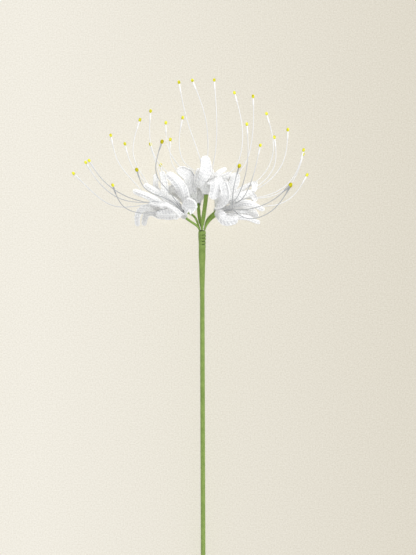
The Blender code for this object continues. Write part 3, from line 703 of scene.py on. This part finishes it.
def posts(builder, petal, random):
    """The stitches' posts: strands in pairs from the midrib to the edge, both sides and round the tip."""
    loop = petal.edge(STITCH_INSET)
    along = run_length(loop)
    count = int(along[-1] / STITCH)
    t = np.linspace(0.0, 1.0, POST_POINTS)
    fan_from = petal.length - FAN * petal.tip_half
    paths, radii = [], []
    for number in range(count):
        side = 1.0 if number < count / 2 else -1.0
        where = (number + 0.5) * along[-1] / count
        s_out = np.interp(where, along, loop[:, 0])
        x_out = np.interp(where, along, loop[:, 1])
        size = float(petal.size(s_out))
        if abs(x_out) < POST_LEAST and s_out < petal.length * NEAR_TIP:
            continue
        s_in = min(s_out - POST_LEAN * abs(x_out), fan_from)
        x_in = POST_FROM * side
        bow = random.uniform(-POST_BOW, POST_BOW)
        s = s_in + (s_out - s_in) * t + bow * np.sin(math.pi * t)
        x = x_in + (x_out - x_in) * t
        way = unit(np.array([s_out - s_in, x_out - x_in]))
        turn = random.uniform(-0.5, 0.5) + 2 * math.pi * POST_TURNS * t * side
        offset = POST_APART * YARN_RADIUS * size
        swell = YARN_RADIUS * size * (0.85 + 0.15 * np.sin(math.pi * t))
        for strand in (0.0, math.pi):
            aside = offset * np.cos(turn + strand)
            up = offset * 0.85 * np.sin(turn + strand)
            paths.append(petal.place(s - way[1] * aside, x + way[0] * aside, up))
            radii.append(swell)
    builder.tubes(np.array(paths), np.array(radii), YARN_SIDES)


def leg_radius(t, size):
    """The radius along one leg of a loop: thin where it dives under its neighbours."""
    return size * YARN_RADIUS * (0.5 + 0.5 * np.sin(math.pi * t) ** 0.7)


def edge_loops(builder, petal, random):
    """The last row's loops along the edge: on each face, a leg for each stitch, one over the next."""
    loop = petal.edge(LOOP_INSET)
    along = run_length(loop)
    count = int(along[-1] / STITCH)
    pitch = along[-1] / count
    t = np.linspace(0.0, 1.0, LOOP_POINTS)
    paths, radii = [], []
    for number in range(count):
        for face in (1.0, -1.0):
            start = (number - 0.1 + random.uniform(-EDGE_UNEVEN, EDGE_UNEVEN)) * pitch
            where = np.clip(start + t * pitch * EDGE_LAP, 0.0, along[-1])
            s = np.interp(where, along, loop[:, 0])
            x = np.interp(where, along, loop[:, 1])
            size = petal.size(s)
            out = 1.0 + 0.05 * np.sin(math.pi * t)
            z = face * size * (0.08 + 0.42 * np.sin(math.pi * t) ** 0.8)
            paths.append(petal.place(s, x * out, z))
            radii.append(leg_radius(t, size))
    builder.tubes(np.array(paths), np.array(radii), YARN_SIDES)


def midrib_loops(builder, petal, random):
    """The chain along the midrib: a V for each stitch, on each face."""
    count = int((petal.length - 2.5) / STITCH)
    pitch = (petal.length - 2.0) / count
    t = np.linspace(0.0, 1.0, LOOP_POINTS)
    paths, radii = [], []
    for number in range(count):
        for face in (1.0, -1.0):
            for leg in (1.0, -1.0):
                start = number + random.uniform(-MIDRIB_UNEVEN, MIDRIB_UNEVEN)
                s = MIDRIB_FROM + (start + t * MIDRIB_LAP) * pitch
                size = petal.size(s)
                x = leg * size * (0.16 + 0.5 * np.sin(math.pi * (0.1 + 0.75 * t)))
                z = face * size * (0.35 + 0.36 * np.sin(math.pi * t))
                paths.append(petal.place(s, x, z))
                radii.append(leg_radius(t, size))
    builder.tubes(np.array(paths), np.array(radii), YARN_SIDES)


def make_petal(node, root_near, looks, random):
    """One crocheted petal. The looks are the stitches' and the core's."""
    petal = Petal(node, root_near, random)
    builder = Builder()
    core(builder, petal)
    posts(builder, petal, random)
    edge_loops(builder, petal, random)
    midrib_loops(builder, petal, random)
    return builder.finish(node + "_crochet", looks, node)


# ---------------------------------------------------------------- stamens

def stamen_legs(middles, radii):
    """A folded wire's anthers, as their rings from the tip down, and the line of its filaments."""
    thick = radii > 0.5 * radii.max()
    ends = []
    first, last = 0, len(middles)
    if thick[:ANTHER_RINGS].any():
        ends.append(middles[:ANTHER_RINGS])
        first = ANTHER_RINGS - ANTHER_HELD
    if thick[-ANTHER_RINGS:].any():
        ends.append(middles[:-ANTHER_RINGS - 1:-1])
        last -= ANTHER_RINGS - ANTHER_HELD
    return ends, middles[first:last]


def filament(builder, points, wire_radius, anther_ends):
    """The thread-wound wire: ridges that run round it, and a thicker winding below each anther."""
    line, along = smooth_line(points, STAMEN_WINDING / STAMEN_ROWS)
    _, ups, acrosses = carried_frames(line[None])
    angles = np.arange(STAMEN_SIDES) * 2 * math.pi / STAMEN_SIDES
    swell = np.zeros(len(line))
    for end in anther_ends:
        away = np.linalg.norm(line - end, axis=1)
        swell += SWELLING * (1.0 - ease(away, SWELLING_LENGTH * SWELLING_FULL, SWELLING_LENGTH))
    ridge = STAMEN_RIDGE * np.cos(angles[None] - 2 * math.pi * along[:, None] / STAMEN_WINDING)
    radius = wire_radius + swell[:, None] + ridge
    ring = ups[0][:, None] * np.cos(angles)[:, None] + acrosses[0][:, None] * np.sin(angles)[:, None]
    # The thicker winding takes the third look, for most wires a lighter thread: painted light
    looks = np.where(swell > 0.5 * SWELLING, SWELLING_LOOK, THREAD_LOOK)
    builder.rings((line[:, None] + ring * radius[..., None])[None], looks)


def anther(builder, rings, radius, size, random):
    """A grain-shaped anther with a shallow groove and lumps."""
    tip, base = rings[0], rings[-1]
    way = unit(base - tip)
    long_half = ANTHER_HALF_LENGTH * size * random.uniform(1.0 - ANTHER_VARIETY, 1.0 + ANTHER_VARIETY)
    centre = tip + way * (long_half - ANTHER_OVERHANG)
    across = unit(np.cross(way, (0.0, 0.0, 1.0)))
    up = np.cross(across, way)
    t = np.linspace(-1.0, 1.0, ANTHER_SIDES)
    profile = radius * size * ANTHER_FULLNESS * np.maximum(1.0 - np.abs(t) ** 2.4, 0.03) ** 0.5
    angles = np.arange(ANTHER_SIDES) * 2 * math.pi / ANTHER_SIDES
    lumps = 1.0 + random.uniform(-ANTHER_LUMPS, ANTHER_LUMPS, (ANTHER_SIDES, ANTHER_SIDES))
    groove = 1.0 - ANTHER_GROOVE * np.exp(-((angles - math.pi / 2) / 0.5) ** 2)
    reach = profile[:, None] * lumps * groove
    ring = across * np.cos(angles)[:, None] + up * np.sin(angles)[:, None]
    places = centre + way * (t * long_half)[:, None, None] + ring[None] * reach[..., None]
    builder.rings(places[None], ANTHER_LOOK)


def make_stamens(node, looks, size, random):
    """A folded wire with its stamens. The looks are for its thread, anthers and thicker winding."""
    middles, radii = tube_rings(node, STAMEN_CORNERS)
    wire_radius = np.median(radii) - STAMEN_THINNING
    anthers, line = stamen_legs(middles, radii)
    builder = Builder()
    filament(builder, line, wire_radius, [rings[-1] for rings in anthers])
    for rings in anthers:
        anther(builder, rings, radii.max(), size, random)
    return builder.finish(node + "_wound", looks, node)


# ---------------------------------------------------------------- stem and pedicels

def wound(builder, line, along, radii, winding, thread, lift=None):
    """A core with thread wound round it in one helix. Its outside lies at the radii, plus the lift."""
    _, ups, acrosses = carried_frames(line[None])
    count = int(along[-1] / winding * TURN_POINTS)
    at = np.linspace(0.0, along[-1], count)
    angle = 2 * math.pi * at / winding
    read = [np.stack([np.interp(at, along, table[:, i]) for i in range(3)], axis=1)
            for table in (line, ups[0], acrosses[0])]
    out = read[1] * np.cos(angle)[:, None] + read[2] * np.sin(angle)[:, None]
    reach = np.interp(at, along, radii) - thread
    if lift is not None:
        reach += lift(at, out)
    spiral = read[0] + out * reach[:, None]
    builder.tubes(spiral[None], thread, THREAD_SIDES)
    # The core's darker look: painted shade where it shows between the windings
    builder.tubes(line[None], (radii - thread)[None], CORE_SIDES, CORE_LOOK)


def make_pedicel(node, middles, radii, looks):
    """A pedicel wound with green thread, along the rings of its CAD tube."""
    line, along = smooth_line(middles, PEDICEL_SPACING)
    knots = run_length(middles)
    reach = np.interp(along / along[-1], knots / knots[-1], radii)
    builder = Builder()
    wound(builder, line, along, reach, WINDING * PEDICEL_WINDING, THREAD_RADIUS * PEDICEL_THREAD)
    return builder.finish(node + "_wound", looks, node)


def stem_profile():
    """The stem's cut end, its direction, and its radius at each distance from the cut end."""
    corners, faces = node_mesh("stem_wire")
    ends = [corners[ring].mean(axis=0) for ring in flat_ends(corners, faces, STEM_CORNERS)]
    low, high = sorted(ends, key=lambda end: end[1])
    way = unit(high - low)
    places = node_mesh("stem_wrap")[0]
    along = (places - low).dot(way)
    away = np.linalg.norm(places - low - along[:, None] * way, axis=1)
    rounded = np.round(along, 1)
    heights = sorted(set(rounded[away > BORE_REACH]))
    return low, way, np.array(heights), np.array([away[rounded == height].max() for height in heights])


def binding_lift(depth, out):
    """How far the binding's bands stand out, by the depth below the collar's top and the way they face."""
    band = np.mod((depth - BINDING_FROM) / BINDING_BAND, 1.0)
    shape = BINDING_LAP * band - BINDING_GROOVE * (1.0 - ease(band, *BINDING_EDGE))
    inside = (depth > BINDING_FROM + 0.5 * BINDING_BAND) & (depth < BINDING_LENGTH)
    return shape * inside * (BINDING_AWAY + (1.0 - BINDING_AWAY) * ease(out[:, 0], *BINDING_TURN))


def make_stem(looks):
    """The stem and its collar, wound with green thread, with the binding's bands at the collar's top."""
    low, way, heights, radii = stem_profile()
    top = heights[-1]
    along = np.linspace(0.0, top, STEM_ROWS)
    reach = np.interp(along, heights, radii)
    line = low + along[:, None] * way
    builder = Builder()
    wound(builder, line, along, reach, WINDING, THREAD_RADIUS, lambda at, out: binding_lift(top - at, out))
    return builder.finish("stem_wound", looks, "stem_wrap")


# ---------------------------------------------------------------- stage

def make_floor():
    """A plain pale floor with a faint grain, and painted shade that makes it a little darker to the right.
    """
    bpy.ops.mesh.primitive_plane_add(size=FLOOR_SIZE)
    floor = bpy.context.object
    floor.name = "floor"
    made, tree, shader = new_material("floor_paper")
    where = tree.nodes.new("ShaderNodeTexCoord")
    split = tree.nodes.new("ShaderNodeSeparateXYZ")
    tree.links.new(where.outputs["Object"], split.inputs[0])
    # Painted shade: darker to the right
    across = link_math(tree, "DIVIDE", split.outputs["X"], FLOOR_TONES)
    across = link_math(tree, "ADD", across, FLOOR_ORIGIN)
    across.node.use_clamp = True
    grain = link_math(tree, "SUBTRACT", noise(tree, 900.0, 3.0, 0.6), 0.5)
    shade = link_math(tree, "ADD", link_math(tree, "MULTIPLY", across, FLOOR_SHADES),
                      link_math(tree, "MULTIPLY", grain, FLOOR_GRAIN))
    shade = link_math(tree, "ADD", shade, FLOOR_LIGHT_END)
    tree.links.new(ramp(tree, shade, (0.0, FLOOR_PALE), (1.0, FLOOR_DARK)), shader.inputs["Base Color"])
    shader.inputs["Roughness"].default_value = 0.95
    shader.inputs["Specular IOR Level"].default_value = 0.1
    floor.data.materials.append(made)
    return floor


def make_light(name, place, size, power, colour):
    """A square soft light that faces the florets."""
    data = bpy.data.lights.new(name, "AREA")
    data.size = size
    data.energy = power
    data.color = colour
    made = bpy.data.objects.new(name, data)
    bpy.context.scene.collection.objects.link(made)
    made.location = place
    away = Vector(place) - Vector(SQUARES_FACE)
    made.rotation_euler = away.to_track_quat("Z", "Y").to_euler()
    return made


def make_sun(name, strength, spread):
    """A light from above that comes from so many degrees of the sky, evenly over the whole stage."""
    data = bpy.data.lights.new(name, "SUN")
    data.energy = strength
    data.color = WHITE
    data.angle = math.radians(spread)
    made = bpy.data.objects.new(name, data)
    bpy.context.scene.collection.objects.link(made)
    return made


def make_lights(floor):
    """Soft light on the flower from the upper right, from in front and from all round above it.

    The floor has a light of its own, which the flower doesn't block.
    """
    flower = bpy.data.collections.new("lit_flower")
    for thing in bpy.data.objects:
        if thing.type == "MESH" and thing != floor:
            flower.objects.link(thing)
    ground = bpy.data.collections.new("lit_floor")
    ground.objects.link(floor)
    key = make_light("key", KEY_PLACE, KEY_SIZE, KEY_POWER, KEY_COLOUR)
    front = make_light("front", FRONT_PLACE, FRONT_SIZE, FRONT_POWER, WHITE)
    dome = make_sun("dome", DOME_STRENGTH, DOME_SPREAD)
    even = make_sun("floor_light", FLOOR_LIGHT_STRENGTH, FLOOR_LIGHT_SPREAD)
    for light in (key, front, dome):
        light.light_linking.receiver_collection = flower
    even.light_linking.receiver_collection = ground
    even.light_linking.blocker_collection = ground


def make_world():
    """A pale wall round the stage, a few degrees high, and dimmer light above it."""
    world = bpy.data.worlds.new("studio")
    world.use_nodes = True
    tree = world.node_tree
    background = tree.nodes["Background"]
    background.inputs["Color"].default_value = (*WALL_COLOUR, 1.0)
    where = tree.nodes.new("ShaderNodeTexCoord")
    split = tree.nodes.new("ShaderNodeSeparateXYZ")
    tree.links.new(where.outputs["Generated"], split.inputs[0])
    strength = tree.nodes.new("ShaderNodeMapRange")
    strength.interpolation_type = "SMOOTHSTEP"
    strength.inputs["From Min"].default_value = WALL_TOP[0]
    strength.inputs["From Max"].default_value = WALL_TOP[1]
    strength.inputs["To Min"].default_value = WALL_STRENGTH
    strength.inputs["To Max"].default_value = SKY_STRENGTH
    tree.links.new(split.outputs["Z"], strength.inputs["Value"])
    tree.links.new(strength.outputs["Result"], background.inputs["Strength"])
    bpy.context.scene.world = world


def make_camera():
    """A distant camera that looks straight down, with the florets in the view's upper half."""
    data = bpy.data.cameras.new("camera")
    data.sensor_width = SENSOR_WIDTH
    data.lens = data.sensor_width * CAMERA_HEIGHT / VIEW_HEIGHT
    data.clip_end = 100.0
    made = bpy.data.objects.new("camera", data)
    bpy.context.scene.collection.objects.link(made)
    made.location = (*VIEW_MIDDLE, HEAD_MIDDLE + CAMERA_HEIGHT)
    bpy.context.scene.camera = made


def make_florets(green_shade, random):
    """The pedicels and the petals round each one's far end."""
    cotton = yarn_material("white_cotton", WHITE_COTTON, COTTON_TWIST, 0.25, COTTON_SUBSURFACE)
    # Painted shade for the petals' cores
    cotton_shade = yarn_material("cotton_shade", COTTON_PAINTED_SHADE, COTTON_TWIST, 0.1)
    # Painted light: the pedicels' green is lighter than the stem's
    lit_green = yarn_material("lit_green_thread", LIT_GREEN_THREAD, GREEN_TWIST, 0.12)
    for floret in range(1, FLORETS + 1):
        pedicel = f"pedicel_{floret}"
        middles, radii = tube_rings(pedicel, STEM_CORNERS)
        make_pedicel(pedicel, middles, radii, [lit_green, green_shade])
        far = max(middles[0], middles[-1], key=lambda middle: middle[1])
        for number in range(1, PETALS + 1):
            make_petal(f"floret_{floret}_petal_{number}", far, [cotton, cotton_shade], random)


def make_all_stamens(random):
    """The stamens. Most are white with painted shade near the florets' middle and painted light on the
    thicker winding below each anther; some have painted shade most of the way out, and a few have painted
    shade all along, with darker anthers.
    """
    # Painted light on the thicker winding below each anther
    bright = yarn_material("lit_thread", LIT_THREAD, WIRE_THREAD_TWIST, 0.15)
    white = yarn_material("white_thread", WHITE_THREAD, WIRE_THREAD_TWIST, 0.15)
    # Painted shade on the white wires near the florets' middle
    paint_shade(white, SHADE_TONE, SHADE_REACH)
    # Painted shade most of the way out along these wires
    long_shaded = yarn_material("long_shaded_thread", LONG_SHADED_THREAD, WIRE_THREAD_TWIST, 0.15)
    paint_shade(long_shaded, LONG_SHADE_TONE, LONG_SHADE_REACH)
    # Painted shade all along these stamens, wires and anthers
    shaded_grey = yarn_material("shaded_grey_thread", SHADED_GREY_THREAD, WIRE_THREAD_TWIST, 0.1)
    yellow = anther_material("anther_yellow", YELLOW_ANTHER)
    dark_anther = anther_material("anther_shaded", SHADED_ANTHER)
    for node in sorted(frame["nodes"]):
        if "stamens" not in node:
            continue
        if node in FULLY_SHADED_STAMENS:
            make_stamens(node, [shaded_grey, dark_anther, shaded_grey], FULLY_SHADED_FULLNESS, random)
        elif node in LONG_SHADED_STAMENS:
            make_stamens(node, [long_shaded, yellow, long_shaded], 1.0, random)
        else:
            make_stamens(node, [white, yellow, bright], 1.0, random)


def main():
    """Build the looks."""
    random = np.random.default_rng(SEED)
    green_thread = yarn_material("green_thread", GREEN_THREAD, GREEN_TWIST, 0.12)
    # Painted shade for the cores of the stem and pedicels
    green_shade = yarn_material("green_shade", GREEN_PAINTED_SHADE, GREEN_TWIST, 0.1)
    make_stem([green_thread, green_shade])
    wire = frame["nodes"]["stem_wire"]
    wire.data.materials.clear()
    wire.data.materials.append(wire_material())
    make_florets(green_shade, random)
    make_all_stamens(random)
    make_camera()
    make_lights(make_floor())
    make_world()
    bpy.context.scene.view_settings.view_transform = "Standard"


for thing in [o for o in bpy.data.objects if o.type in {"CAMERA", "LIGHT"}]:
    bpy.data.objects.remove(thing)
main()
